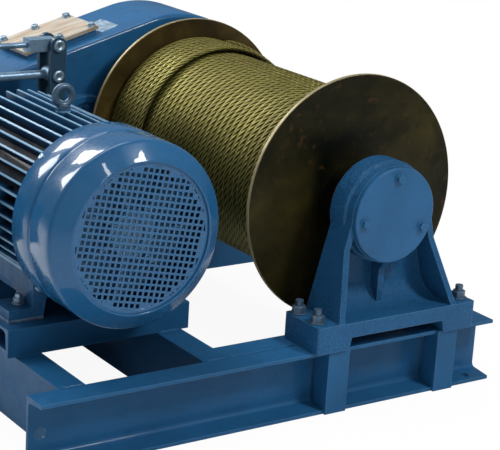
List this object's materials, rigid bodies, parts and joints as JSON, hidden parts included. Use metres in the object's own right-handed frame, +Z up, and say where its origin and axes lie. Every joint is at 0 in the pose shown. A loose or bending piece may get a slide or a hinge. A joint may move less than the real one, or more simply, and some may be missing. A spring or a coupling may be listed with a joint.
{
  "type": "mooring winch",
  "caption": "Electric mooring winch: a rope drum between a cast pedestal and a gear reducer, driven by a finned motor through a block brake, on a welded channel frame.",
  "frame": {"origin": "on the ground, in the middle of the four anchor bolts", "axes": "+X along the front beam towards the drum, +Y along the drum axis from the bearing pedestal towards the reducer, +Z up"},
  "size_m": [1.0418, 1.076, 0.609],
  "materials": {
    "beam_paint": "gloss",
    "casting_paint": "gloss over rough casting",
    "sheet_paint": "gloss",
    "hatch_paint": "satin",
    "bare_steel": "turned",
    "dark_iron": "matt",
    "fan_metal": "as cast",
    "oiled_steel": "oily",
    "wire_rope": "greased strands"
  },
  "bodies": {
    "frame": {"front_beam": "beam_paint", "front_beam_inner": "beam_paint", "cross_members": "beam_paint", "rear_beam_inner": "beam_paint", "rear_beam_outer": "beam_paint", "rear_ties": "beam_paint", "motor_supports": "beam_paint", "brake_support": "beam_paint", "pedestal_posts": "beam_paint", "bearing_pedestal": "casting_paint", "bearing_cover": "casting_paint", "drum_bearing": "dark_iron", "reducer_base": "casting_paint", "reducer_cover": "casting_paint", "inspection_cover": "hatch_paint", "reducer_bearing_caps": "casting_paint", "motor_frame": "casting_paint", "end_shield_fan": "casting_paint", "end_shield_drive": "casting_paint", "motor_packing": "bare_steel", "fan_cowl": "sheet_paint", "fan_grille": "sheet_paint", "terminal_box": "sheet_paint", "lifting_eye": "sheet_paint", "brake_stand": "casting_paint"},
    "drum": {"drum_journal": "bare_steel", "drum_flange_near": "oiled_steel", "drum_flange_far": "oiled_steel", "drum_barrel": "oiled_steel", "rope_winding": "wire_rope", "rope_top_layer": "wire_rope", "output_shaft": "bare_steel"},
    "rotor": {"cooling_fan": "fan_metal", "motor_shaft_bar": "bare_steel", "brake_wheel": "dark_iron", "input_shaft": "bare_steel"},
    "right_brake": {"brake_arm_right": "casting_paint", "brake_shoe_right": "dark_iron"},
    "left_brake": {"brake_arm_left": "casting_paint", "brake_shoe_left": "dark_iron", "release_magnet": "casting_paint"},
    "spring_link": {"spring_rod": "bare_steel", "brake_spring": "dark_iron"},
    "release_link": {"release_rod": "bare_steel"}
  },
  "joints": [
    {"name": "drum_turn", "type": "hinge", "parent": "frame", "child": "drum", "pos_m": [0.2485, 0, 0.365], "axis": [0, 1, 0], "continuous": true},
    {"name": "motor_turn", "type": "hinge", "parent": "frame", "child": "rotor", "pos_m": [-0.2685, 0, 0.365], "axis": [0, 1, 0], "continuous": true},
    {"name": "right_brake_arm", "type": "hinge", "parent": "frame", "child": "right_brake", "pos_m": [-0.117, 0.197, 0.217], "axis": [0, 1, 0], "range_deg": [0, 1], "stiffness_Nm_per_rad": 2000, "springref_deg": -1.15},
    {"name": "left_brake_arm", "type": "hinge", "parent": "frame", "child": "left_brake", "pos_m": [-0.42, 0.197, 0.217], "axis": [0, -1, 0], "range_deg": [0, 1]},
    {"name": "spring_rod_eye", "type": "hinge", "parent": "right_brake", "child": "spring_link", "pos_m": [-0.117, 0.197, 0.519], "axis": [0, 1, 0], "range_deg": [-1, 0]},
    {"name": "release_rod_eye", "type": "hinge", "parent": "right_brake", "child": "release_link", "pos_m": [-0.117, 0.197, 0.582], "axis": [0, 1, 0], "range_deg": [-1, 0]}
  ],
  "couplings": [
    {"joint": "motor_turn", "follows": "drum_turn", "ratio": 31.5},
    {"joint": "left_brake_arm", "follows": "right_brake_arm", "ratio": 1},
    {"joint": "spring_rod_eye", "follows": "right_brake_arm", "ratio": -1},
    {"joint": "release_rod_eye", "follows": "right_brake_arm", "ratio": -1}
  ]
}
